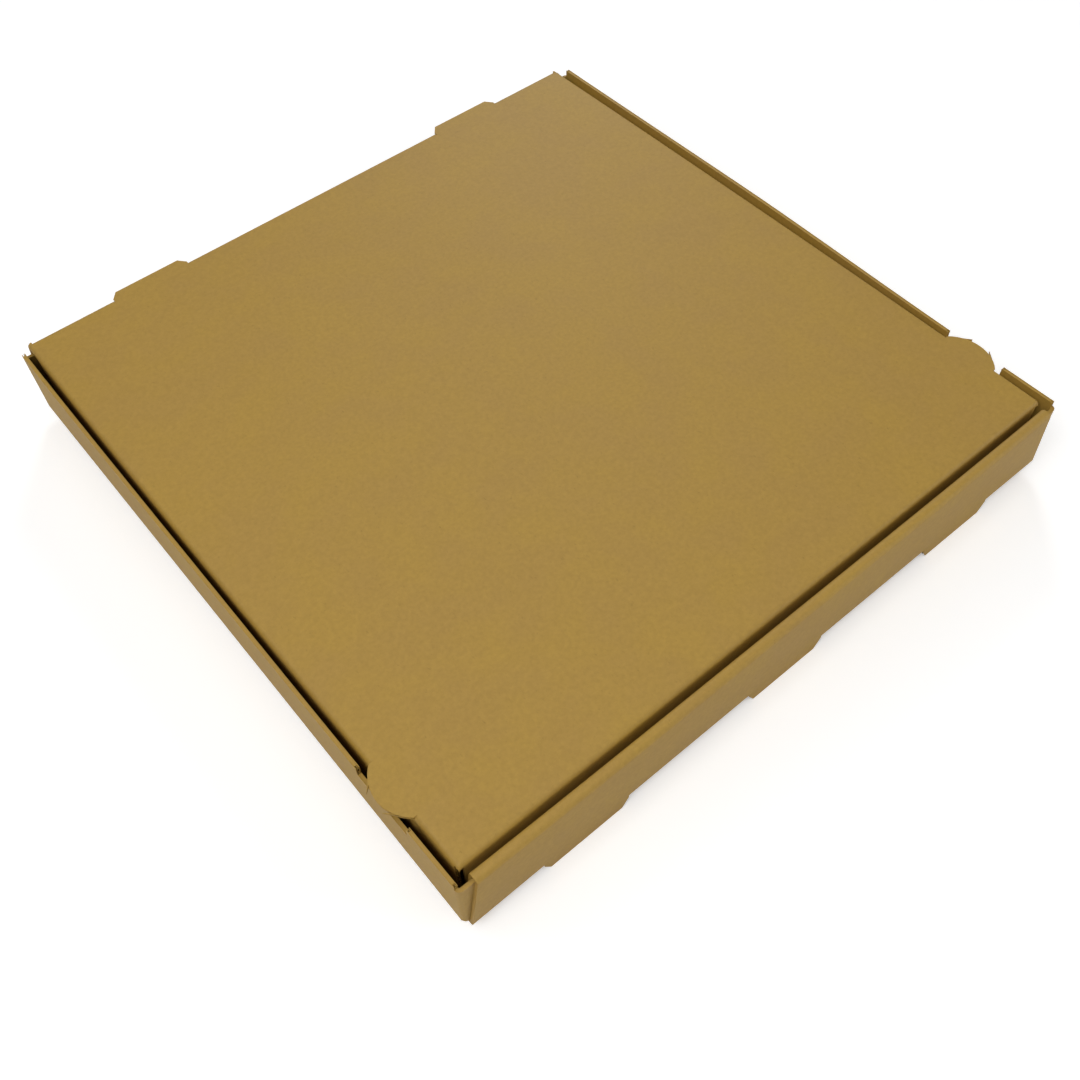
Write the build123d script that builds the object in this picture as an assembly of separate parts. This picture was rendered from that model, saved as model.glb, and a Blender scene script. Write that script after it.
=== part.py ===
from build123d import *
import math
import os

# A pizza box folded from one die-cut sheet of corrugated board. The tray and the lid are the two
# halves of that sheet that turn against each other at the hinge crease, so each is one solid.
# +X runs along the front wall, +Y from the front to the hinge and +Z up. The origin is on the
# ground below the middle of the whole box.

# Board and folds, in millimetres
board = 1.5  # thickness of the board
fold_inside = 0.5  # inside radius of a fold
fold_outside = fold_inside + board

# Lid
lid_width = 300.0  # over the side creases
lid_depth = 304.0  # from the front crease to the hinge
lid_rise = 0.5  # how far the lid's top lies above the walls
front_flap_lift = 4.0  # from the base up to the lower edge of the lid's front flap
flap_seat = 0.3  # between the side flaps' lower edges and the base
flap_slit = 0.5  # between neighbouring flaps at a corner
flap_corner = 14.0  # bevel at the lower back corner of a side flap
flap_setback = 5.0  # from the rear corner flaps to the lid's side flaps

# Lid stops, the rounded ears in the lid's plane
ear_length = 25.0  # along the crease
ear_reach = 5.8  # outwards from the crease
ear_centre = 35.5  # from the lid's front crease
ear_clearance = 1.5  # between an ear and each end of its recess in the side wall
recess_depth = 5.0

# Tray
wall_height = 35.0  # from the underside of the base to the top of the walls
side_gap = 2.9  # between the lid's side crease and the side wall
front_gap = 2.4  # between the lid's front crease and the front wall
ply_gap = 0.15  # on each side of a corner flap that lies against a wall
panel_taper = 4.7  # how much narrower the front wall is at its top, at each end
back_taper = 2.4  # the same for the back wall
panel_foot_gap = 0.3  # between the inner front panel and the base
corner_flap_length = 72.0
corner_flap_bevel = 8.0
flap_edge_gap = 1.0  # between a corner flap's edges and the folds above and below it

# Front feet, the tongues left standing where the base is slotted for the inner panel's tabs
foot_count = 3
foot_pitch = 101.0
foot_width = 39.5  # at the crease
tongue_taper = 3.0  # how much a foot or a hinge tongue narrows at each end
slot_clearance = 0.4  # between an inner panel's tab and the end of its slot
tab_side_clearance = 0.5

# Hinge tongues, cut from the back wall and left standing in the lid's plane
hinge_tongue_length = 3.6
hinge_tongue_width = 37.5
hinge_tongue_pitch = 179.0
hinge_gap = 0.3  # between the back wall's top edge and the lid
swing_clearance = 0.4  # round a hinge tongue as it turns down into its notch

overshoot = 1.0  # how far a cutting shape passes the face that it cuts

# Worked out from the sizes above
front_wall = 3 * board + 2 * ply_gap  # two panels with a corner flap between them
slot_depth = front_wall + slot_clearance
foot_length = slot_depth
floor = foot_length
wall_top = floor + wall_height
lid_top = wall_top + lid_rise
lid_under = lid_top - board
lid_half = lid_width / 2
tray_half = lid_half + side_gap + board
flat_half = tray_half - fold_outside
y_front = -(front_wall + front_gap + lid_depth + hinge_tongue_length) / 2
y_lid = y_front + front_wall + front_gap
y_hinge = y_lid + lid_depth
y_corner = y_front + board + ply_gap
y_rear_corner = y_hinge - board - ply_gap
ear_y = y_lid + ear_centre
back_top = lid_under - hinge_gap
notch_bottom = lid_top - math.hypot(hinge_tongue_length, board) - swing_clearance
foot_places = [(n - (foot_count - 1) / 2) * foot_pitch for n in range(foot_count)]
hinge_places = [-hinge_tongue_pitch / 2, hinge_tongue_pitch / 2]


def inner_side(path):
    """The path moved one board thickness to its left. Every turn is a right angle."""
    runs = [(b - a).normalized() for a, b in zip(path, path[1:])]
    sides = [Vector(-run.Y, run.X) * board for run in runs]
    turns = [a + b for a, b in zip(sides, sides[1:])]
    return [point + side for point, side in zip(path, [sides[0], *turns, sides[-1]])]


def folded_section(*corners):
    """The section of a folded strip whose outer face follows the corners, board to the left."""
    outer = [Vector(*corner) for corner in corners]
    inner = inner_side(outer)
    edges = Curve() + FilletPolyline(*outer, radius=fold_outside)
    edges += FilletPolyline(*inner, radius=fold_inside)
    edges += [Line(outer[0], inner[0]), Line(outer[-1], inner[-1])]
    return make_face(edges)


def block(x, y, z):
    """A box given by its (low, high) along each axis."""
    centre = [(low + high) / 2 for low, high in (x, y, z)]
    return Pos(*centre) * Box(x[1] - x[0], y[1] - y[0], z[1] - z[0])


def slab(outline, plane, depth):
    """A face drawn in the plane, extruded along the plane's normal whichever way it was drawn."""
    return extrude(plane * outline, amount=depth, dir=plane.z_dir)


def along_x(section, x_low, x_high):
    """A section drawn in Y and Z, extruded from x_low to x_high."""
    return slab(section, Plane.YZ.offset(x_low), x_high - x_low)


def along_y(section, y_low, y_high):
    """A section drawn in X and Z, extruded from y_low to y_high."""
    return slab(section, Plane((0, y_high, 0), x_dir=(1, 0, 0), z_dir=(0, -1, 0)), y_high - y_low)


def along_z(section, z_low, z_high):
    """A section drawn in X and Y, extruded from z_low to z_high."""
    return slab(section, Plane.XY.offset(z_low), z_high - z_low)


def both_sides(solid):
    """The solid and its mirror image in the box's middle plane."""
    return [solid, mirror(solid, about=Plane.YZ)]


def tongue_outline(width, length, root):
    """A tongue that points along -Y from the crease at Y = 0, with a root on the other side."""
    half = width / 2
    tip = half - tongue_taper
    left = [(-half, root), (-half, 0), (-tip, -length)]
    right = [(-x, y) for x, y in reversed(left)]
    return make_face(Polyline(*left, *right, close=True))


def ear_outline():
    """An ear that points along +X from the crease at X = 0, with a root on the lid's side."""
    half = ear_length / 2
    root = -fold_outside
    arc = ThreePointArc((0, -half), (ear_reach, 0), (0, half))
    return make_face(Curve() + [arc, Polyline((0, half), (root, half), (root, -half), (0, -half))])


def crease_waste():
    """What lies outside the rounded front crease of the lid, over its whole width."""
    y_out, z_out = y_lid - overshoot, lid_top + overshoot
    y_in, z_in = y_lid + fold_outside, lid_top - fold_outside
    middle = Vector(y_in, z_in) + Vector(-fold_outside, 0).rotate(Axis.Z, -45)
    arc = ThreePointArc((y_in, lid_top), middle, (y_lid, z_in))
    rest = Polyline((y_lid, z_in), (y_out, z_in), (y_out, z_out), (y_in, z_out), (y_in, lid_top))
    return along_x(make_face(Curve() + [arc, rest]), -lid_half - overshoot, lid_half + overshoot)


def end_wedge(bottom_half, taper, y, z_low, z_high):
    """What a tapering wall loses at its +X end: no board stands outside its slanting edge."""
    beyond = tray_half + board
    slant = [(bottom_half, z_low), (bottom_half - taper, z_high)]
    return along_y(make_face(Polyline(*slant, (beyond, z_high), (beyond, z_low), close=True)), *y)


def corner_flap_cuts(y, z_low, z_high):
    """What a corner flap loses above, below and at the two bevelled corners of its free end."""
    x_end = tray_half - corner_flap_length
    x_reach = (x_end - overshoot, tray_half + overshoot)
    below = block(x_reach, y, (floor + fold_inside, z_low))
    above = block(x_reach, y, (z_high, wall_top + overshoot))
    bevel = corner_flap_bevel
    upper = Polyline((x_end, z_high), (x_end + bevel, z_high), (x_end, z_high - bevel), close=True)
    lower = Polyline((x_end, z_low), (x_end + bevel, z_low), (x_end, z_low + bevel), close=True)
    return [below, above, along_y(make_face(upper), *y), along_y(make_face(lower), *y)]


def make_long_strip():
    """The inner front panel, the rolled top, the front wall, the base and the back wall."""
    section = folded_section(
        (y_front + front_wall, floor + board + panel_foot_gap),
        (y_front + front_wall, wall_top),
        (y_front, wall_top),
        (y_front, floor),
        (y_hinge, floor),
        (y_hinge, back_top),
    )
    strip = along_x(section, -flat_half, flat_half)
    fold_top = floor + fold_outside
    cut_top = wall_top + overshoot
    front_reach = (y_front - overshoot, y_front + front_wall + overshoot)
    back_reach = (y_hinge - board - ply_gap / 2, y_hinge + overshoot)
    strip -= both_sides(end_wedge(flat_half, panel_taper, front_reach, fold_top, cut_top))
    strip -= both_sides(end_wedge(flat_half, back_taper, back_reach, fold_top, cut_top))
    return strip


def make_side_wall():
    """The +X side wall with its fold to the base and its front and rear corner flaps."""
    y_low = y_corner + fold_outside
    y_high = y_rear_corner - fold_outside
    fold_top = floor + fold_outside
    flap_low = fold_top + flap_edge_gap
    band = folded_section(
        (tray_half - corner_flap_length, y_corner),
        (tray_half, y_corner),
        (tray_half, y_rear_corner),
        (tray_half - corner_flap_length, y_rear_corner),
    )
    wall = along_z(band, fold_top, wall_top)
    front_reach = (y_corner - overshoot, y_low)
    back_reach = (y_high, y_rear_corner + overshoot)
    wall -= corner_flap_cuts(front_reach, flap_low, wall_top - board - flap_edge_gap)
    wall -= corner_flap_cuts(back_reach, flap_low, notch_bottom)
    recess_half = ear_length / 2 + ear_clearance
    recess_x = (tray_half - board - overshoot, tray_half + overshoot)
    recess_y = (ear_y - recess_half, ear_y + recess_half)
    wall -= block(recess_x, recess_y, (wall_top - recess_depth, wall_top + overshoot))
    base_edge = (flat_half - board, floor)
    base_fold = folded_section(base_edge, (tray_half, floor), (tray_half, fold_top + board))
    return wall + along_y(base_fold, y_low, y_high)


def make_tray():
    """The strip from the front roll to the back wall, with the side walls, feet, slots and tabs."""
    tray = make_long_strip()
    tray += both_sides(make_side_wall())
    slot = tongue_outline(foot_width, slot_depth, fold_outside)
    foot = tongue_outline(foot_width, foot_length, fold_outside)
    tab_half = foot_width / 2 - tongue_taper - tab_side_clearance
    tab_y = (y_front + front_wall - board, y_front + front_wall)
    tab_z = (floor, floor + 2 * board + panel_foot_gap)
    for x in foot_places:
        slot_place = Plane((x, y_front, floor - overshoot), x_dir=(-1, 0, 0), z_dir=(0, 0, 1))
        foot_place = Plane((x, y_front, floor), x_dir=(-1, 0, 0), z_dir=(0, 1, 0))
        tray -= slab(slot, slot_place, overshoot + fold_outside)
        tray += slab(foot, foot_place, board)
        tray += block((x - tab_half, x + tab_half), tab_y, tab_z)
    notch_half = hinge_tongue_width / 2 + swing_clearance
    notch_y = (y_hinge - board - overshoot, y_hinge + overshoot)
    for x in hinge_places:
        tray -= block((x - notch_half, x + notch_half), notch_y, (notch_bottom, lid_top))
    return tray


def side_flap_cuts():
    """What a side flap loses at its front end, at its bevelled back end and where the ear was cut."""
    x_reach = (lid_half - board - overshoot, lid_half + overshoot)
    flap_back = y_rear_corner - board - flap_setback
    cut_low = floor + board + flap_seat - overshoot
    fold_low = lid_top - fold_outside
    front = block(x_reach, (y_lid - overshoot, y_lid + board + flap_slit), (cut_low, fold_low))
    back = block(x_reach, (flap_back, y_hinge + overshoot), (cut_low, lid_under))
    bevel_back = flap_back + overshoot
    bevel_foot = [(bevel_back, cut_low), (flap_back - flap_corner, cut_low)]
    bevel = make_face(Polyline(*bevel_foot, (bevel_back, fold_low), close=True))
    ear_place = Plane((x_reach[0], ear_y, lid_top), x_dir=(0, 0, -1), z_dir=(1, 0, 0))
    ear_hole = slab(ear_outline(), ear_place, x_reach[1] - x_reach[0])
    return [front, back, along_x(bevel, *x_reach), ear_hole]


def make_lid():
    """The lid panel with its front and side flaps, its ears and its hinge tongues."""
    side_low = floor + board + flap_seat
    across = [(lid_half, side_low), (lid_half, lid_top), (-lid_half, lid_top), (-lid_half, side_low)]
    lid = along_y(folded_section(*across), y_lid, y_hinge) - crease_waste()
    for cut in side_flap_cuts():
        lid -= both_sides(cut)
    join_y = y_lid + 2 * fold_outside
    front_low = floor + board + front_flap_lift
    front = folded_section((join_y, lid_top), (y_lid, lid_top), (y_lid, front_low))
    front_half = lid_half - fold_outside - flap_slit
    lid += along_x(front, -front_half, front_half)
    lid += both_sides(slab(ear_outline(), Plane((lid_half, ear_y, lid_under)), board))
    tongue = tongue_outline(hinge_tongue_width, hinge_tongue_length, fold_outside)
    for x in hinge_places:
        lid += slab(tongue, Plane((x, y_hinge, lid_under), x_dir=(-1, 0, 0), z_dir=(0, 0, 1)), board)
    return lid


os.makedirs("parts", exist_ok=True)
for name, solid in {"tray": make_tray(), "lid": make_lid()}.items():
    export_step(solid, f"parts/{name}.step")
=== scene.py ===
import math

import bmesh
import bpy
from mathutils import Matrix, Vector, noise
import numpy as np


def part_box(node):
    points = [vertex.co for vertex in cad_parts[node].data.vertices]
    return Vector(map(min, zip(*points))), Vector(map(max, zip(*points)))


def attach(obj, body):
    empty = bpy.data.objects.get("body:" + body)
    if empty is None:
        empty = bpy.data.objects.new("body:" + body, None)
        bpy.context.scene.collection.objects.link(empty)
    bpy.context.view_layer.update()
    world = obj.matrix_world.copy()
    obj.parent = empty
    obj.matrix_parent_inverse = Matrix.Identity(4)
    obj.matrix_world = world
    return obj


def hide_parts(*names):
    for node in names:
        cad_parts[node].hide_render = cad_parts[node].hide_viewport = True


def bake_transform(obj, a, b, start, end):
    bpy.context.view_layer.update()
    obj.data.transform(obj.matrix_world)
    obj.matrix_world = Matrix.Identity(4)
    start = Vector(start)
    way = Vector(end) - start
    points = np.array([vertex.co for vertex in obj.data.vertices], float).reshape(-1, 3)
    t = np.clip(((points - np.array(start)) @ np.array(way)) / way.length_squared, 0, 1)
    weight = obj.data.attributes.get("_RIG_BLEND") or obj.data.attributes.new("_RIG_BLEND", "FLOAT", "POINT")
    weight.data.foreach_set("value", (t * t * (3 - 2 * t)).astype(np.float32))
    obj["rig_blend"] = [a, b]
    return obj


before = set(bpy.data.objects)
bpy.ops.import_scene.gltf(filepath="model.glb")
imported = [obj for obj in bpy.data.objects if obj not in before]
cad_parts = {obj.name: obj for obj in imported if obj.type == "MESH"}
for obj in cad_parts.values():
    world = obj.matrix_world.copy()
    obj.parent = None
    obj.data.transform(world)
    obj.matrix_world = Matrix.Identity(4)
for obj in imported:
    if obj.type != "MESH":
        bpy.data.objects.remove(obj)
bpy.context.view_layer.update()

bl_info = {
    "name": "Pizza Box",
    "version": (1, 0, 0),
    "blender": (4, 5, 0),
    "location": "3D View > Sidebar > Pizza Box",
    "description": "Folds the fluted board of a pizza box and sets its stage",
    "category": "Object",
}

# Everything below is in millimetres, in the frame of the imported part, until a mesh is written.
MM = 0.001


def linear(hex_colour):
    """An sRGB hex colour, such as "A88946", as linear red, green, blue and alpha."""
    channels = [int(hex_colour[i:i + 2], 16) / 255 for i in (0, 2, 4)]
    return (*[c / 12.92 if c <= 0.04045 else ((c + 0.055) / 1.055) ** 2.4 for c in channels], 1.0)


def add_node(tree, kind, inputs=None, **settings):
    """Adds a node with its settings; each input is a value or the socket that feeds it."""
    made = tree.nodes.new(kind)
    for name, value in settings.items():
        setattr(made, name, value)
    for name, value in (inputs or {}).items():
        if isinstance(value, bpy.types.NodeSocket):
            tree.links.new(value, made.inputs[name])
        else:
            made.inputs[name].default_value = value
    return made


def corners_of(node):
    """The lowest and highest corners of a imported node, in millimetres."""
    return [Vector(corner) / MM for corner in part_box(node)]


TRAY_LOW, TRAY_HIGH = corners_of("tray")
LID_LOW, LID_HIGH = corners_of("lid")

# The board and its folds
BOARD = 1.5
LINER = 0.25  # thickness of each of its two liners
GROOVE = 1.2  # how far a cut across the flutes is open between the liners
SIDE_GROOVE = 0.15  # and a cut along them
EDGE_SETBACK = 0.1  # from the liners' cut edges to the fluting between them
FLUTE_PITCH = 3.2
FLUTE_PAPER = 0.15  # thickness of the wavy paper
FLUTE_STEPS = 10  # points along each flute's wave
FOLD = 2.0  # outside radius of a fold
SHARP = math.radians(40)  # edges that turn more than this aren't smoothed

# The paper
CLOUD = 24.0  # main waves of its clouds, its grain, its fibres and its tooth
GRAIN = 1.6
FIBRE = 1.1
TOOTH = 0.7
GRAIN_DEPTH = 0.34  # how much of the fibres' colour the darkest grain has
TOOTH_DEPTH = 0.03
FLUTE_DEPTH = 0.02  # how far the flutes show through the liner
BUMP = 0.6
FLUTE_BUMP = 0.5
WAVE_RATE = 20  # the wave texture turns this many radians for each unit of its scale
CELLULOSE_IOR = 1.5
PAPER_ROUGHNESS = 0.62  # calendered, uncoated

# How far the board has settled
CROWN = 0.5  # rise of the middle of the lid, and its long and short waves as (height, length)
LONG_WAVE = (0.55, 85.0)
SHORT_WAVE = (0.14, 38.0)
LID_BOW = 0.9
LEFT_BOW = 0.6
FRONT_BOW = 0.5
RIGHT_BOW = 2.1
RIGHT_BOW_RUN = 140.0  # from the ear to where the right wall bows fully

# The lid
LID_HALF = 150.0
LID_TOP = LID_HIGH.z
FRONT_FLAP_LIFT = 4.0
FLAP_SEAT = 0.3
FLAP_SLIT = 0.5
FLAP_CORNER = 14.0
FLAP_SETBACK = 5.0
EAR_HALF = 12.5
EAR_REACH = LID_HIGH.x - LID_HALF
EAR_CENTRE = 35.5
EAR_CLEARANCE = 1.5

# The tray
FLOOR = LID_LOW.z - FLAP_SEAT - BOARD
WALL_TOP = TRAY_HIGH.z
TRAY_HALF = TRAY_HIGH.x
FLAT_HALF = TRAY_HALF - FOLD
PLY_GAP = 0.15
FRONT_WALL = 3 * BOARD + 2 * PLY_GAP
PANEL_TAPER = 4.7
PANEL_GAP = 0.3  # between the inner front panel and the base
BACK_TAPER = 2.4
RECESS_DEPTH = 5.0
CORNER_FLAP_LENGTH = 72.0
CORNER_FLAP_BEVEL = 8.0
FLAP_EDGE_GAP = 1.0
FOOT_PLACES = (-101.0, 0.0, 101.0)
FOOT_HALF = 19.75
TONGUE_TAPER = 3.0
TAB_GAP = 0.5

# The hinge
Y_FRONT = TRAY_LOW.y
Y_HINGE = TRAY_HIGH.y
Y_LID = LID_LOW.y
HINGE_PLACES = (-89.5, 89.5)
HINGE_TONGUE_HALF = 18.75
HINGE_TONGUE_LENGTH = LID_HIGH.y - Y_HINGE
SWING_CLEARANCE = 0.4
NOTCH_HALF = HINGE_TONGUE_HALF + SWING_CLEARANCE
NOTCH_BOTTOM = LID_TOP - math.hypot(HINGE_TONGUE_LENGTH, BOARD) - SWING_CLEARANCE
CREASE_Y = Y_HINGE - FOLD
CREASE_Z = LID_TOP - FOLD

# The stage: lamps with their power in watts, side and place in metres
LAMPS = (
    ("key", 7.9, 0.7, (-0.75, -0.30, 1.05)),
    ("window", 5.4, 1.2, (-0.9, 1.0, 1.5)),
    ("fill", 8.4, 0.9, (1.1, -1.2, 0.55)),
    ("rim", 13.3, 0.6, (1.3, 1.5, 1.15)),
    ("top", 2.8, 1.0, (0.1, -0.1, 1.5)),
)
SKY_LEVEL = 0.11
SHEET_LIFT = 0.32  # light added to the floor where the camera sees it, growing to 1 far off
SHEET_NEAR = 0.6
SHEET_FAR = 1.8
SHEET_REACH = 4.0

# The camera: its place in metres and its turn in radians
CAMERA_PLACE = (-0.2068, -0.2697, 0.4065)
CAMERA_YAW, CAMERA_PITCH, CAMERA_ROLL = 0.670, 0.962, -0.0349
CAMERA_LENS = 39.39  # for a sensor 36 mm wide

EAR_Y = Y_LID + EAR_CENTRE
Y_CORNER = Y_FRONT + BOARD + PLY_GAP
Y_REAR_CORNER = Y_HINGE - BOARD - PLY_GAP
FOLD_TOP = FLOOR + FOLD
BEND = (FOLD - BOARD / 2) * math.pi / 2  # length of a fold in the flat sheet
BEND_STEPS = 6
GRID = 12.5  # spacing of the lines that divide a panel


class FoldedLine:
    """A line that turns left at each corner, with the board on its left side."""

    def __init__(self, *corners):
        points = [Vector(corner) for corner in corners]
        self.parts = []
        self.length = 0.0
        start = points[0]
        for before, corner, after in zip(points, points[1:], points[2:]):
            ahead = (corner - before).normalized()
            self._run(start, corner - ahead * FOLD)
            left = Vector((-ahead.y, ahead.x))
            centre = corner - ahead * FOLD + left * FOLD
            self.parts.append((self.length, self.length + BEND, centre, -left, ahead))
            self.length += BEND
            start = corner + (after - corner).normalized() * FOLD
        self._run(start, points[-1])

    def _run(self, start, end):
        ahead = end - start
        size = ahead.length
        if size > 1e-6:
            ahead.normalize()
            self.parts.append((self.length, self.length + size, start, None, ahead))
            self.length += size

    def at(self, length):
        """The point of the outer face at that length, and the way from it into the board."""
        part = next((p for p in self.parts if length <= p[1] + 1e-6), self.parts[-1])
        low, high, origin, outward, ahead = part
        if outward is None:
            return origin + ahead * (length - low), Vector((-ahead.y, ahead.x))
        turn = (length - low) / (high - low) * math.pi / 2
        away = outward * math.cos(turn) + ahead * math.sin(turn)
        return origin + away * FOLD, -away

    def stations(self):
        """Lengths that divide the line: the ends and steps of each fold, and a grid on each run."""
        lines = []
        for low, high, _, outward, _ in self.parts:
            count = BEND_STEPS if outward is not None else max(1, round((high - low) / GRID))
            lines += [low + (high - low) * n / count for n in range(count + 1)]
        return lines


def grid_lines(low, high):
    """Evenly spaced lines from low to high."""
    count = max(1, round((high - low) / GRID))
    return [low + (high - low) * n / count for n in range(count + 1)]


def smooth_step(value):
    value = min(1.0, max(0.0, value))
    return value * value * (3 - 2 * value)


def settle_lid(p):
    """The lid's panel crowns a little and its sides bow outwards, as used board does."""
    across = min(1.0, abs(p.x) / LID_HALF)
    along = min(1.0, abs(2 * (p.y - Y_LID) / (Y_HINGE - Y_LID) - 1))
    calm = (1 - across ** 4) * (1 - along ** 4)
    rise = CROWN
    for level, (size, length) in ((0, LONG_WAVE), (50, SHORT_WAVE)):
        rise += size * noise.noise(Vector((p.x, p.y, level)) / length)
    bow = LID_BOW * across ** 2 * (1 - along ** 2)
    return Vector((p.x + math.copysign(bow, p.x), p.y, p.z + calm * rise))


def settle_tray(p):
    """The tray's walls bow outwards between their corners, the right one most of all."""
    height = smooth_step((p.z - FLOOR) / (WALL_TOP - FLOOR))
    across = min(1.0, abs(p.x) / TRAY_HALF)
    along = min(1.0, abs(2 * (p.y - Y_FRONT) / (Y_HINGE - Y_FRONT) - 1))
    if p.x > 0:
        rear = 1 - smooth_step(p.y / Y_HINGE) / 3
        side = RIGHT_BOW * smooth_step((p.y - EAR_Y) / RIGHT_BOW_RUN) * rear
    else:
        side = LEFT_BOW * (1 - along ** 4)
    front = FRONT_BOW * height * (1 - across ** 4) * smooth_step((Y_LID - p.y) / 2 + 0.5)
    return Vector((p.x + math.copysign(side * height * across ** 8, p.x), p.y - front, p.z))


def inset_vectors(flat, seam, flutes):
    """For each vertex on the flat sheet's outline, the way to the same point of the open groove."""
    sides = {}
    for edge in flat.edges:
        if len(edge.link_faces) != 1:
            continue
        a, b = (v.co for v in edge.verts)
        middle = (a + b) / 2
        normal = Vector((a.y - b.y, b.x - a.x, 0)).normalized()
        if normal.dot(edge.link_faces[0].calc_center_median() - middle) < 0:
            normal.negate()
        along = abs((a - b)[1 - flutes]) < abs((a - b)[flutes])
        depth = 0.0 if seam(middle.x, middle.y) else SIDE_GROOVE if along else GROOVE
        for vertex in edge.verts:
            sides.setdefault(vertex, []).append((normal, depth))
    insets = {}
    for vertex, pair in sides.items():
        (n1, d1), (n2, d2) = (pair + pair)[:2]
        cross = n1.x * n2.y - n1.y * n2.x
        if abs(cross) < 0.05:
            insets[vertex] = (n1 + n2).normalized() * min(d1, d2)
        else:
            insets[vertex] = Vector((d1 * n2.y - d2 * n1.y, d2 * n1.x - d1 * n2.x, 0)) / cross
    return insets


def add_cut_flutes(cuts, flat, insets, place, seam, flutes):
    """Adds a line along each open edge that cuts across the flutes, for the fluting to follow.

    Each of its points holds where it is across the flutes, the way from liner to liner and the
    way into the board."""
    across_layer = cuts.verts.layers.float_vector["across"]
    inward_layer = cuts.verts.layers.float_vector["inward"]
    run_layer = cuts.verts.layers.float["run"]
    made = {}
    for edge in flat.edges:
        if len(edge.link_faces) != 1:
            continue
        a, b = (v.co for v in edge.verts)
        middle = (a + b) / 2
        if seam(middle.x, middle.y) or abs(a[1 - flutes] - b[1 - flutes]) < 0.5 * (a - b).length:
            continue
        ends = []
        for vertex in edge.verts:
            if vertex not in made:
                u, v, _ = vertex.co + insets[vertex] * (EDGE_SETBACK / GROOVE)
                deep = vertex.co + insets[vertex]
                point = cuts.verts.new(place(u, v, BOARD / 2))
                point[across_layer] = (place(u, v, 0) - place(u, v, BOARD)).normalized()
                point[inward_layer] = (place(deep.x, deep.y, BOARD / 2) - point.co).normalized()
                point[run_layer] = vertex.co[1 - flutes]
                made[vertex] = point
            ends.append(made[vertex])
        cuts.edges.new(ends)


def add_sheet(target, loops, place, lines_u, lines_v, seam=lambda u, v: False, flutes=1):
    """Adds one panel or folded strip of board to a pair of bmeshes, the liners and the cut flutes.

    The loops are its outline and holes in the flat sheet. place gives the point in space for a
    point of the flat sheet and a depth below its outer face. seam says which edges join another
    sheet and stay closed. The flutes run along u (0) or v (1)."""
    liners, cuts = target
    flat = bmesh.new()
    for loop in loops:
        verts = [flat.verts.new((u, v, 0)) for u, v in loop]
        for a, b in zip(verts, verts[1:] + verts[:1]):
            flat.edges.new((a, b))
    bmesh.ops.triangle_fill(flat, edges=flat.edges[:], use_beauty=True, normal=(0, 0, 1))
    for lines, way in ((lines_u, Vector((1, 0, 0))), (lines_v, Vector((0, 1, 0)))):
        for line in lines:
            parts = flat.verts[:] + flat.edges[:] + flat.faces[:]
            bmesh.ops.bisect_plane(flat, geom=parts, dist=1e-4, plane_co=way * line, plane_no=way)
    spare = []
    for edge in flat.edges:
        a, b = (v.co for v in edge.verts)
        straight = min(abs(a.x - b.x), abs(a.y - b.y)) < 1e-4
        if not straight and not any(v.is_boundary for v in edge.verts):
            spare.append(edge)
    bmesh.ops.dissolve_edges(flat, edges=spare, use_verts=True)
    insets = inset_vectors(flat, seam, flutes)
    still = Vector((0, 0, 0))
    layers = ((0, False), (LINER, False), (LINER, True),
              (BOARD - LINER, True), (BOARD - LINER, False), (BOARD, False))
    rings = {}
    for vertex in flat.verts:
        depths = layers if vertex in insets else (layers[0], layers[-1])
        column = []
        for depth, inside in depths:
            spot = vertex.co + (insets[vertex] if inside else still)
            column.append(liners.verts.new(place(spot.x, spot.y, depth)))
        rings[vertex] = column
    made = []
    for face in flat.faces:
        made.append(liners.faces.new([rings[v][0] for v in face.verts]))
        made.append(liners.faces.new([rings[v][-1] for v in reversed(face.verts)]))
    for edge in flat.edges:
        if len(edge.link_faces) == 1:
            a, b = (rings[v] for v in edge.verts)
            for k in range(len(layers) - 1):
                made.append(liners.faces.new((a[k], b[k], b[k + 1], a[k + 1])))
    bmesh.ops.recalc_face_normals(liners, faces=made)
    add_cut_flutes(cuts, flat, insets, place, seam, flutes)
    flat.free()


def fold_y(line):
    """Places a strip folded about X: u is x and v runs along the line in Y and Z."""
    def place(u, v, depth):
        point, inward = line.at(v)
        point = point + inward * depth
        return Vector((u, point.x, point.y))
    return place


def fold_x(line):
    """Places a strip folded about Y: u runs along the line in X and Z, and v is y."""
    def place(u, v, depth):
        point, inward = line.at(u)
        point = point + inward * depth
        return Vector((point.x, v, point.y))
    return place


def fold_z(line):
    """Places a strip folded about Z: u runs along the line in X and Y, and v is z."""
    def place(u, v, depth):
        point, inward = line.at(u)
        point = point + inward * depth
        return Vector((point.x, point.y, v))
    return place


def kept(place):
    """The sheet on the box's right side, as it is."""
    return place


def mirrored(place):
    """The same sheet on the box's other side."""
    def other(u, v, depth):
        point = place(u, v, depth)
        return Vector((-point.x, point.y, point.z))
    return other


def arc_points(half, reach, steps=14):
    """Points of the arc over a chord from -half to half that reaches that far: (along, out)."""
    radius = (half ** 2 + reach ** 2) / (2 * reach)
    span = math.asin(half / radius)
    angles = [span * (2 * n / steps - 1) for n in range(steps + 1)]
    return [(radius * math.sin(a), radius * math.cos(a) - radius + reach) for a in angles]


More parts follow.
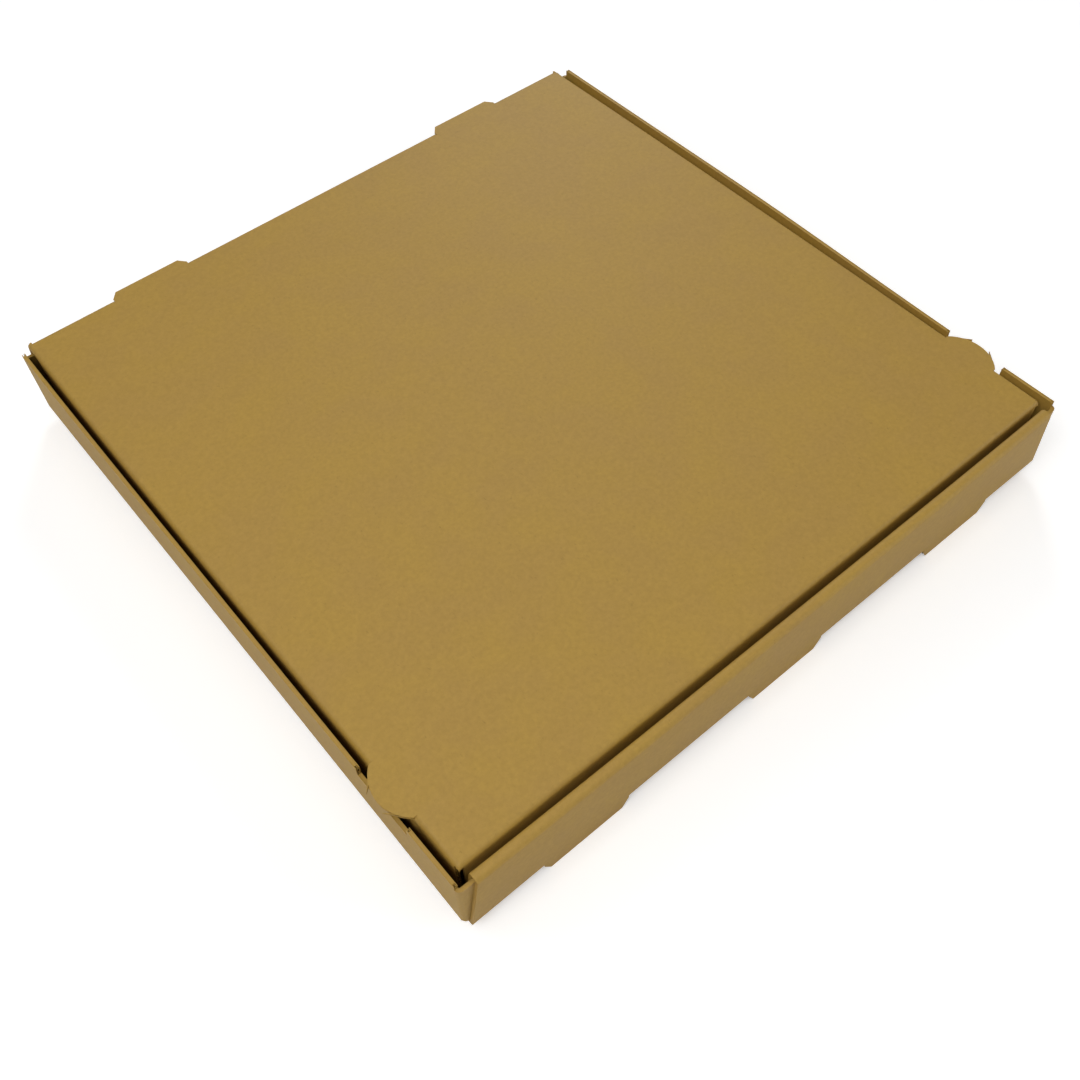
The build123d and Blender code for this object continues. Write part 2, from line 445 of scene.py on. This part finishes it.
def add_long_strip(target):
    """The inner front panel, the rolled top, the front wall, the base and the back wall."""
    inner_y = Y_FRONT + FRONT_WALL
    line = FoldedLine((inner_y, FLOOR), (inner_y, WALL_TOP), (Y_FRONT, WALL_TOP), (Y_FRONT, FLOOR),
                      (Y_HINGE, FLOOR), (Y_HINGE, CREASE_Z))
    roll = WALL_TOP - FLOOR - FOLD  # from the tabs' ends to the roll
    roll_end = roll + 2 * BEND + FRONT_WALL - 2 * FOLD
    wall_end = roll_end + WALL_TOP - FLOOR - 2 * FOLD
    base_start = wall_end + BEND
    base_end = base_start + Y_HINGE - Y_FRONT - 2 * FOLD
    back_start = base_end + BEND
    tab_top = BOARD + PANEL_GAP
    top_half = FLAT_HALF - PANEL_TAPER
    back_half = FLAT_HALF - BACK_TAPER
    tab_half = FOOT_HALF - TONGUE_TAPER - TAB_GAP
    right = [(FLAT_HALF, tab_top), (top_half, roll), (top_half, roll_end), (FLAT_HALF, wall_end),
             (FLAT_HALF, back_start), (back_half, line.length)]
    top = []
    for x in reversed(HINGE_PLACES):
        notch = line.length - (CREASE_Z - NOTCH_BOTTOM)
        top += [(x + NOTCH_HALF, line.length), (x + NOTCH_HALF, notch)]
        top += [(x - NOTCH_HALF, notch), (x - NOTCH_HALF, line.length)]
    left = [(-x, s) for x, s in reversed(right)]
    bottom = []
    for x in FOOT_PLACES:
        bottom += [(x - tab_half, tab_top), (x - tab_half, 0)]
        bottom += [(x + tab_half, 0), (x + tab_half, tab_top)]
    loops = [right + top + left + bottom]
    slot_end = base_start + FLOOR - FOLD
    for x in FOOT_PLACES:
        tip = FOOT_HALF - TONGUE_TAPER
        loops.append([(x - FOOT_HALF, wall_end), (x - FOOT_HALF, base_start), (x - tip, slot_end),
                      (x + tip, slot_end), (x + FOOT_HALF, base_start), (x + FOOT_HALF, wall_end)])
    side_low = base_start + Y_CORNER - Y_FRONT
    side_high = base_end - (Y_HINGE - Y_REAR_CORNER)

    def seam(u, v):
        beside_wall = abs(abs(u) - FLAT_HALF) < 0.01 and side_low < v < side_high
        above_foot = abs(v - wall_end) < 0.01 and abs(u) < FLAT_HALF - 1
        at_hinge = v > line.length - 0.01
        return beside_wall or above_foot or at_hinge

    lines_u = grid_lines(-FLAT_HALF, FLAT_HALF) + list(FOOT_PLACES)
    lines_v = line.stations() + [side_low, side_high]
    add_sheet(target, loops, fold_y(line), lines_u, lines_v, seam)


def add_feet(target):
    """The tongues that stand below the front wall where the base is slotted."""
    line = FoldedLine((Y_FRONT, FOLD_TOP), (Y_FRONT, 0))
    for x in FOOT_PLACES:
        tip = FOOT_HALF - TONGUE_TAPER
        outline = [(x - FOOT_HALF, 0), (x - FOOT_HALF, FOLD), (x - tip, line.length),
                   (x + tip, line.length), (x + FOOT_HALF, FOLD), (x + FOOT_HALF, 0)]
        add_sheet(target, [outline], fold_y(line), [x], [FOLD], lambda u, v: v < 0.01)


def add_side_wall(target, turn):
    """A side wall with its fold to the base and the recess that the lid's ear passes through."""
    line = FoldedLine((FLAT_HALF, FLOOR), (TRAY_HALF, FLOOR), (TRAY_HALF, WALL_TOP))
    low, high = Y_CORNER + FOLD, Y_REAR_CORNER - FOLD
    top = line.length
    recess = EAR_HALF + EAR_CLEARANCE
    outline = [(0, low), (top, low), (top, EAR_Y - recess), (top - RECESS_DEPTH, EAR_Y - recess),
               (top - RECESS_DEPTH, EAR_Y + recess), (top, EAR_Y + recess), (top, high), (0, high)]
    flap_low = BEND + FLAP_EDGE_GAP
    flap_high = top - BOARD - FLAP_EDGE_GAP
    rear_high = top - (WALL_TOP - NOTCH_BOTTOM)

    def seam(u, v):
        at_front = v < low + 0.01 and flap_low < u < flap_high
        at_back = v > high - 0.01 and flap_low < u < rear_high
        return u < 0.01 or at_front or at_back

    lines_u = line.stations() + [flap_low, flap_high, rear_high]
    add_sheet(target, [outline], turn(fold_x(line)), lines_u, grid_lines(low, high), seam)


def add_corner_flaps(target, turn):
    """The flaps that fold in from a side wall, behind the front wall and before the back wall."""
    reach = TRAY_HALF - CORNER_FLAP_LENGTH
    bevel = CORNER_FLAP_BEVEL
    low = FOLD_TOP + FLAP_EDGE_GAP
    front = FoldedLine((reach, Y_CORNER), (TRAY_HALF, Y_CORNER), (TRAY_HALF, Y_CORNER + FOLD))
    high = WALL_TOP - BOARD - FLAP_EDGE_GAP
    end = front.length
    outline = [(0, low + bevel), (bevel, low), (end, low), (end, high), (bevel, high), (0, high - bevel)]
    add_sheet(target, [outline], turn(fold_z(front)), front.stations(), grid_lines(low, high),
              lambda u, v: u > end - 0.01, flutes=0)
    back = FoldedLine((TRAY_HALF, Y_REAR_CORNER - FOLD), (TRAY_HALF, Y_REAR_CORNER),
                      (reach, Y_REAR_CORNER))
    high = NOTCH_BOTTOM
    outline = [(0, low), (end - bevel, low), (end, low + bevel),
               (end, high - bevel), (end - bevel, high), (0, high)]
    add_sheet(target, [outline], turn(fold_z(back)), back.stations(), grid_lines(low, high),
              lambda u, v: u < 0.01, flutes=0)


def add_lid_panel(target):
    """The lid's panel with its side creases and side flaps, and the holes that the ears left."""
    low = LID_LOW.z
    line = FoldedLine((LID_HALF, low), (LID_HALF, LID_TOP), (-LID_HALF, LID_TOP), (-LID_HALF, low))
    flap = LID_TOP - low - FOLD
    crease_end = flap + BEND
    front, back = Y_LID + FOLD, CREASE_Y
    flap_back = Y_REAR_CORNER - BOARD - FLAP_SETBACK
    right = [(crease_end, front), (flap, front), (0, front), (0, flap_back - FLAP_CORNER),
             (flap, flap_back), (flap, Y_HINGE), (crease_end, Y_HINGE), (crease_end, back)]
    whole = line.length
    left = [(whole - u, v) for u, v in reversed(right)]
    loops = [right + left]
    hole = [(crease_end - out, EAR_Y + along) for along, out in arc_points(EAR_HALF, EAR_REACH)]
    loops += [hole, [(whole - u, v) for u, v in hole]]

    def seam(u, v):
        at_front = v < front + 0.01 and flap + 0.2 < u < whole - flap - 0.2
        at_hinge = v > back - 0.01 and crease_end < u < whole - crease_end
        past_ear = min(abs(u - crease_end), abs(whole - crease_end - u))
        at_ear = abs(v - EAR_Y) < EAR_HALF and past_ear < 0.015
        return at_front or at_hinge or at_ear

    lines_v = grid_lines(front, back) + [EAR_Y]
    lines_u = line.stations() + [flap - EAR_REACH / 2, whole - flap + EAR_REACH / 2]
    add_sheet(target, loops, fold_x(line), lines_u, lines_v, seam)


def add_lid_front(target):
    """The lid's front crease and front flap; the crease drops at its ends to close the corners."""
    line = FoldedLine((Y_LID + FOLD, LID_TOP), (Y_LID, LID_TOP), (Y_LID, FLOOR + BOARD + FRONT_FLAP_LIFT))
    half = LID_HALF - 0.35
    flap_half = LID_HALF - FOLD - FLAP_SLIT
    fold = fold_y(line)

    def place(u, v, depth):
        point = fold(u, v, depth)
        past = max(0.0, abs(u) - (LID_HALF - FOLD))
        point.z -= FOLD - math.sqrt(FOLD ** 2 - past ** 2)
        return point

    outline = [(-half, 0), (-half, BEND), (-flap_half, BEND), (-flap_half, line.length),
               (flap_half, line.length), (flap_half, BEND), (half, BEND), (half, 0)]
    ends = [sign * (LID_HALF - FOLD + step) for sign in (-1, 1) for step in (0, 0.6, 1.1)]
    lines_u = grid_lines(-flap_half, flap_half) + ends
    add_sheet(target, [outline], place, lines_u, line.stations(), lambda u, v: v < 0.01)


def add_ears_and_tongues(target):
    """The two round ears and the two hinge tongues, which stay in the lid's plane."""
    def flat(u, v, depth):
        return Vector((u, v, LID_TOP - depth))

    root = LID_HALF - FOLD
    arc = [(LID_HALF + out, EAR_Y + along) for along, out in arc_points(EAR_HALF, EAR_REACH)]
    outline = [(root, EAR_Y - EAR_HALF), *arc, (root, EAR_Y + EAR_HALF)]
    for turn in (kept, mirrored):
        add_sheet(target, [outline], turn(flat), [LID_HALF], [EAR_Y], lambda u, v: u < root + 0.01)
    tip = HINGE_TONGUE_HALF - TONGUE_TAPER
    for x in HINGE_PLACES:
        outline = [(x - HINGE_TONGUE_HALF, CREASE_Y), (x + HINGE_TONGUE_HALF, CREASE_Y),
                   (x + HINGE_TONGUE_HALF, Y_HINGE), (x + tip, Y_HINGE + HINGE_TONGUE_LENGTH),
                   (x - tip, Y_HINGE + HINGE_TONGUE_LENGTH), (x - HINGE_TONGUE_HALF, Y_HINGE)]
        add_sheet(target, [outline], flat, [x], [Y_HINGE], lambda u, v: v < CREASE_Y + 0.01)


def add_hinge_crease(target):
    """The bare crease between the hinge tongues, which bends from the back wall to the lid."""
    line = FoldedLine((Y_HINGE, CREASE_Z), (Y_HINGE, LID_TOP), (CREASE_Y, LID_TOP))
    inner, outer = HINGE_PLACES[1] - NOTCH_HALF, HINGE_PLACES[1] + NOTCH_HALF
    end = LID_HALF - FOLD
    for low, high in ((-end, -outer), (-inner, inner), (outer, end)):
        outline = [(low, 0), (low, line.length), (high, line.length), (high, 0)]
        add_sheet(target, [outline], fold_y(line), grid_lines(low, high), line.stations(),
                  lambda u, v: v < 0.01 or v > line.length - 0.01)


def new_shapes():
    """An empty pair of bmeshes: one for the liners and one for the lines of cut flutes."""
    liners, cuts = bmesh.new(), bmesh.new()
    cuts.verts.layers.float_vector.new("across")
    cuts.verts.layers.float_vector.new("inward")
    cuts.verts.layers.float.new("run")
    return liners, cuts


def finish_piece(name, shape, settle, material):
    """Turns a bmesh in millimetres into a finished object, after the board has settled."""
    for vertex in shape.verts:
        vertex.co = settle(vertex.co) * MM
    mesh = bpy.data.meshes.new(name)
    shape.to_mesh(mesh)
    shape.free()
    mesh.materials.append(material)
    mesh.shade_smooth()
    mesh.set_sharp_from_angle(angle=SHARP)
    piece = bpy.data.objects.new(name, mesh)
    bpy.context.scene.collection.objects.link(piece)
    return piece


def fluting_tree():
    """A node tree that turns each line of cut flutes into the wavy paper between two liners."""
    tree = bpy.data.node_groups.new("fluting", "GeometryNodeTree")
    face = tree.interface
    face.new_socket("Geometry", in_out="INPUT", socket_type="NodeSocketGeometry")
    for name in ("Pitch", "Height", "Depth", "Thickness"):
        face.new_socket(name, in_out="INPUT", socket_type="NodeSocketFloat").subtype = "DISTANCE"
    face.new_socket("Paper", in_out="INPUT", socket_type="NodeSocketMaterial")
    face.new_socket("Geometry", in_out="OUTPUT", socket_type="NodeSocketGeometry")
    given = add_node(tree, "NodeGroupInput").outputs

    def named(name, kind):
        found = add_node(tree, "GeometryNodeInputNamedAttribute", {"Name": name}, data_type=kind)
        return found.outputs[0]

    def maths(operation, first, second):
        return add_node(tree, "ShaderNodeMath", {0: first, 1: second}, operation=operation).outputs[0]

    def scaled(vector, factor):
        inputs = {"Vector": vector, "Scale": factor}
        return add_node(tree, "ShaderNodeVectorMath", inputs, operation="SCALE").outputs[0]

    def extruded(mesh, offset, mode, **more):
        inputs = {"Mesh": mesh, "Offset": offset, "Offset Scale": 1.0, **more}
        return add_node(tree, "GeometryNodeExtrudeMesh", inputs, mode=mode).outputs["Mesh"]

    step = maths("DIVIDE", given["Pitch"], FLUTE_STEPS)
    lines = add_node(tree, "GeometryNodeMeshToCurve", {"Mesh": given["Geometry"]}).outputs["Curve"]
    fine = add_node(tree, "GeometryNodeResampleCurve", {"Curve": lines, "Length": step}, mode="LENGTH")
    edges = add_node(tree, "GeometryNodeCurveToMesh", {"Curve": fine.outputs["Curve"]}).outputs["Mesh"]
    run = maths("MULTIPLY", named("run", "FLOAT"), 2 * math.pi * MM)
    wave = maths("SINE", maths("DIVIDE", run, given["Pitch"]), 0.0)
    across = named("across", "FLOAT_VECTOR")
    offset = scaled(across, maths("MULTIPLY", wave, maths("MULTIPLY", given["Height"], 0.5)))
    waved = add_node(tree, "GeometryNodeSetPosition", {"Geometry": edges, "Offset": offset})
    inward = scaled(named("inward", "FLOAT_VECTOR"), given["Depth"])
    sheet = extruded(waved.outputs["Geometry"], inward, "EDGES")
    under = add_node(tree, "GeometryNodeFlipFaces", {"Mesh": sheet}).outputs["Mesh"]
    over = extruded(sheet, scaled(across, given["Thickness"]), "FACES", Individual=False)
    both = add_node(tree, "GeometryNodeJoinGeometry")
    tree.links.new(under, both.inputs[0])
    tree.links.new(over, both.inputs[0])
    joined = {"Geometry": both.outputs[0], "Distance": 1e-6}
    welded = add_node(tree, "GeometryNodeMergeByDistance", joined)
    real = add_node(tree, "GeometryNodeRealizeInstances", {"Geometry": welded.outputs[0]})
    skin = {"Geometry": real.outputs[0], "Material": given["Paper"]}
    painted = add_node(tree, "GeometryNodeSetMaterial", skin)
    add_node(tree, "NodeGroupOutput", {"Geometry": painted.outputs[0]})
    return tree


def finish_fluting(name, cuts, settle, sizes, paper):
    """Runs the fluting tree on the lines of cut flutes and keeps the result as a plain mesh."""
    for vertex in cuts.verts:
        vertex.co = settle(vertex.co) * MM
    lines = bpy.data.meshes.new(name + "_lines")
    cuts.to_mesh(lines)
    cuts.free()
    source = bpy.data.objects.new(name + "_lines", lines)
    bpy.context.scene.collection.objects.link(source)
    modifier = source.modifiers.new("fluting", "NODES")
    tree = bpy.data.node_groups.get("fluting") or fluting_tree()
    modifier.node_group = tree
    values = {"Pitch": sizes.flute_pitch, "Height": sizes.flute_height,
              "Depth": (GROOVE - EDGE_SETBACK) * MM, "Thickness": sizes.flute_paper, "Paper": paper}
    for socket in tree.interface.items_tree:
        if socket.in_out == "INPUT" and socket.name in values:
            modifier[socket.identifier] = values[socket.name]
    seen = source.evaluated_get(bpy.context.evaluated_depsgraph_get())
    mesh = bpy.data.meshes.new_from_object(seen)
    mesh.name = name
    bpy.data.objects.remove(source)
    piece = bpy.data.objects.new(name, mesh)
    bpy.context.scene.collection.objects.link(piece)
    return piece


def kraft_material(sizes):
    """Unbleached kraft linerboard, calendered and uncoated.

    To the eye it is a matt ochre brown with a faint grain, paler where it is seen at a low angle."""
    material = bpy.data.materials.new("kraft_liner")
    material.use_nodes = True
    tree = material.node_tree
    tree.nodes.clear()
    place = add_node(tree, "ShaderNodeTexCoord").outputs["Object"]

    def noise(wave_mm, detail, stretch=(1, 1, 1)):
        """Noise whose main wave is that many millimetres long."""
        stretched = {"Vector": place, "Scale": stretch}
        moved = add_node(tree, "ShaderNodeMapping", stretched).outputs["Vector"]
        made = {"Vector": moved, "Scale": 1 / (wave_mm * MM), "Detail": detail, "Roughness": 0.6}
        return add_node(tree, "ShaderNodeTexNoise", made).outputs["Fac"]

    def ramp(value, low, high):
        """Value mapped so that low gives 0 and high gives 1."""
        inputs = {"Value": value, "From Min": low, "From Max": high}
        return add_node(tree, "ShaderNodeMapRange", inputs).outputs["Result"]

    def blend(factor, first, second, mode="MIX"):
        mixed = add_node(tree, "ShaderNodeMix", data_type="RGBA", blend_type=mode)
        for name, value in (("Factor_Float", factor), ("A_Color", first), ("B_Color", second)):
            socket = next(s for s in mixed.inputs if s.identifier == name)
            if isinstance(value, bpy.types.NodeSocket):
                tree.links.new(value, socket)
            else:
                socket.default_value = value
        return next(s for s in mixed.outputs if s.identifier == "Result_Color")

    # The pulp lies in faint yellow and red clouds, with a fine grain and a few darker fibres.
    colour = blend(ramp(noise(CLOUD, 2), 0.35, 0.65), linear(sizes.tone), linear(sizes.cloud))
    grain = ramp(noise(GRAIN, 3), 0.25, 0.75)
    colour = blend(grain, colour, blend(GRAIN_DEPTH, colour, linear(sizes.fibre)))
    fibres = ramp(noise(FIBRE, 3, (1, 0.5, 1)), 0.64, 0.90)
    colour = blend(fibres, colour, linear(sizes.fibre))
    tooth = add_node(tree, "ShaderNodeBump", {
        "Height": noise(TOOTH, 3), "Distance": TOOTH_DEPTH * MM, "Strength": BUMP}).outputs["Normal"]
    # The flutes show through the liner as shallow waves across the board.
    rate = 2 * math.pi / (WAVE_RATE * FLUTE_PITCH * MM)
    flutes = add_node(tree, "ShaderNodeTexWave", {"Vector": place, "Scale": rate}, bands_direction="X")
    skin = add_node(tree, "ShaderNodeBump", {
        "Height": flutes.outputs["Fac"], "Distance": FLUTE_DEPTH * MM, "Strength": FLUTE_BUMP,
        "Normal": tooth}).outputs["Normal"]
    shader = add_node(tree, "ShaderNodeBsdfPrincipled", {
        "Base Color": colour, "Roughness": PAPER_ROUGHNESS, "IOR": CELLULOSE_IOR, "Normal": skin})
    add_node(tree, "ShaderNodeOutputMaterial", {"Surface": shader.outputs["BSDF"]})
    return material


def stage_material():
    """A matt white studio sheet: plain white outside the shadow and far off, and clear from below."""
    material = bpy.data.materials.new("studio_sheet")
    material.use_nodes = True
    tree = material.node_tree
    tree.nodes.clear()
    paper = add_node(tree, "ShaderNodeBsdfDiffuse", {"Color": linear("F7F7F7")})
    place = add_node(tree, "ShaderNodeTexCoord").outputs["Object"]
    far = add_node(tree, "ShaderNodeVectorMath", {0: place}, operation="LENGTH").outputs["Value"]
    level = add_node(tree, "ShaderNodeMapRange", {
        "Value": far, "From Min": SHEET_NEAR, "From Max": SHEET_FAR, "To Min": SHEET_LIFT, "To Max": 1.0,
    }).outputs["Result"]
    path = add_node(tree, "ShaderNodeLightPath").outputs["Is Camera Ray"]
    lift = add_node(tree, "ShaderNodeMath", {0: path, 1: level}, operation="MULTIPLY").outputs[0]
    glow = add_node(tree, "ShaderNodeEmission", {"Strength": lift})
    both = add_node(tree, "ShaderNodeAddShader", {0: paper.outputs[0], 1: glow.outputs[0]})
    under = add_node(tree, "ShaderNodeNewGeometry").outputs["Backfacing"]
    clear = add_node(tree, "ShaderNodeBsdfTransparent")
    sheet = add_node(tree, "ShaderNodeMixShader", {0: under, 1: both.outputs[0], 2: clear.outputs[0]})
    add_node(tree, "ShaderNodeOutputMaterial", {"Surface": sheet.outputs[0]})
    return material


class BoardSettings(bpy.types.PropertyGroup):
    tone: bpy.props.StringProperty(
        name="Tone", description="sRGB hex colour of the liner", default="B38F3B")
    cloud: bpy.props.StringProperty(
        name="Cloud", description="sRGB hex colour of its redder clouds", default="B08C3F")
    fibre: bpy.props.StringProperty(
        name="Fibre", description="sRGB hex colour of its darker fibres", default="8A6A28")
    flute_pitch: bpy.props.FloatProperty(
        name="Flute pitch", description="From one flute to the next", default=FLUTE_PITCH * MM,
        unit="LENGTH", subtype="DISTANCE")
    flute_height: bpy.props.FloatProperty(
        name="Flute height", description="Height of the wavy paper's middle line",
        default=(BOARD - 2 * LINER - FLUTE_PAPER) * MM, unit="LENGTH", subtype="DISTANCE")
    flute_paper: bpy.props.FloatProperty(
        name="Flute paper", description="Thickness of the wavy paper", default=FLUTE_PAPER * MM,
        unit="LENGTH", subtype="DISTANCE")


class PIZZABOX_OT_tray(bpy.types.Operator):
    """Folds the tray: base, walls, corner flaps and feet"""
    bl_idname = "pizzabox.tray"
    bl_label = "Fold the tray"

    def execute(self, context):
        sizes = context.scene.pizzabox_board
        shapes = new_shapes()
        add_long_strip(shapes)
        add_feet(shapes)
        for turn in (kept, mirrored):
            add_side_wall(shapes, turn)
            add_corner_flaps(shapes, turn)
        liner = kraft_material(sizes)
        board = finish_piece("tray_board", shapes[0], settle_tray, liner)
        fluting = finish_fluting("tray_fluting", shapes[1], settle_tray, sizes, liner)
        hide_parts("tray")
        for piece in (board, fluting):
            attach(piece, "tray")
        return {"FINISHED"}


class PIZZABOX_OT_lid(bpy.types.Operator):
    """Folds the lid: panel, front and side flaps, ears and hinge tongues"""
    bl_idname = "pizzabox.lid"
    bl_label = "Fold the lid"

    def execute(self, context):
        sizes = context.scene.pizzabox_board
        shapes = new_shapes()
        add_lid_panel(shapes)
        add_lid_front(shapes)
        add_ears_and_tongues(shapes)
        liner = bpy.data.materials["kraft_liner"]
        board = finish_piece("lid_board", shapes[0], settle_lid, liner)
        fluting = finish_fluting("lid_fluting", shapes[1], settle_lid, sizes, liner)
        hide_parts("lid")
        for piece in (board, fluting):
            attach(piece, "lid")
        return {"FINISHED"}


class PIZZABOX_OT_crease(bpy.types.Operator):
    """Bends the hinge crease from the back wall to the lid"""
    bl_idname = "pizzabox.crease"
    bl_label = "Bend the hinge crease"

    def execute(self, context):
        shapes = new_shapes()
        add_hinge_crease(shapes)
        shapes[1].free()
        piece = finish_piece("hinge_crease", shapes[0], settle_lid, bpy.data.materials["kraft_liner"])
        start = Vector((0, Y_HINGE, CREASE_Z)) * MM
        end = Vector((0, CREASE_Y, LID_TOP)) * MM
        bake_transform(piece, "tray", "lid", start=tuple(start), end=tuple(end))
        return {"FINISHED"}


class PIZZABOX_OT_stage(bpy.types.Operator):
    """Sets the floor, the lamps and the camera"""
    bl_idname = "pizzabox.stage"
    bl_label = "Set the stage"

    def execute(self, context):
        scene = context.scene
        mesh = bpy.data.meshes.new("floor")
        corners = [(x * SHEET_REACH, y * SHEET_REACH, 0) for x, y in ((-1, -1), (1, -1), (1, 1), (-1, 1))]
        mesh.from_pydata(corners, [], [(0, 1, 2, 3)])
        floor = bpy.data.objects.new("floor", mesh)
        mesh.materials.append(stage_material())
        scene.collection.objects.link(floor)
        world = bpy.data.worlds.new("studio")
        scene.world = world
        world.use_nodes = True
        tree = world.node_tree
        seen = add_node(tree, "ShaderNodeLightPath").outputs["Is Camera Ray"]
        level = add_node(tree, "ShaderNodeMapRange", {"Value": seen, "To Min": SKY_LEVEL, "To Max": 1.0})
        tree.links.new(level.outputs["Result"], tree.nodes["Background"].inputs["Strength"])
        tree.nodes["Background"].inputs["Color"].default_value = (1, 1, 1, 1)
        for name, power, size, position in LAMPS:
            lamp = bpy.data.lights.new(name, "AREA")
            lamp.energy = power
            lamp.size = size
            body = bpy.data.objects.new(name, lamp)
            aim = (-Vector(position)).to_track_quat("-Z", "Y")
            body.matrix_world = Matrix.Translation(position) @ aim.to_matrix().to_4x4()
            scene.collection.objects.link(body)
        camera = bpy.data.cameras.new("camera")
        camera.lens = CAMERA_LENS
        eye = bpy.data.objects.new("camera", camera)
        level = math.cos(CAMERA_PITCH)
        forward = Vector((
            math.sin(CAMERA_YAW) * level, math.cos(CAMERA_YAW) * level, -math.sin(CAMERA_PITCH)))
        right = Vector((math.cos(CAMERA_YAW), -math.sin(CAMERA_YAW), 0))
        up = right.cross(forward)
        side = right * math.cos(CAMERA_ROLL) + up * math.sin(CAMERA_ROLL)
        top = up * math.cos(CAMERA_ROLL) - right * math.sin(CAMERA_ROLL)
        turn = Matrix((side, top, -forward)).transposed()
        eye.matrix_world = Matrix.Translation(CAMERA_PLACE) @ turn.to_4x4()
        scene.collection.objects.link(eye)
        scene.camera = eye
        scene.view_settings.view_transform = "Standard"
        return {"FINISHED"}


class PIZZABOX_PT_panel(bpy.types.Panel):
    bl_label = "Pizza Box"
    bl_idname = "PIZZABOX_PT_panel"
    bl_space_type = "VIEW_3D"
    bl_region_type = "UI"
    bl_category = "Pizza Box"

    def draw(self, context):
        for operator in OPERATORS:
            self.layout.operator(operator.bl_idname)


OPERATORS = (PIZZABOX_OT_tray, PIZZABOX_OT_lid, PIZZABOX_OT_crease, PIZZABOX_OT_stage)
CLASSES = (BoardSettings, *OPERATORS, PIZZABOX_PT_panel)


def register():
    for item in CLASSES:
        bpy.utils.register_class(item)
    bpy.types.Scene.pizzabox_board = bpy.props.PointerProperty(type=BoardSettings)


def unregister():
    del bpy.types.Scene.pizzabox_board
    for item in reversed(CLASSES):
        bpy.utils.unregister_class(item)


def main():
    register()
    bpy.ops.pizzabox.tray()
    bpy.ops.pizzabox.lid()
    bpy.ops.pizzabox.crease()
    bpy.ops.pizzabox.stage()


if __name__ == "__main__":
    main()
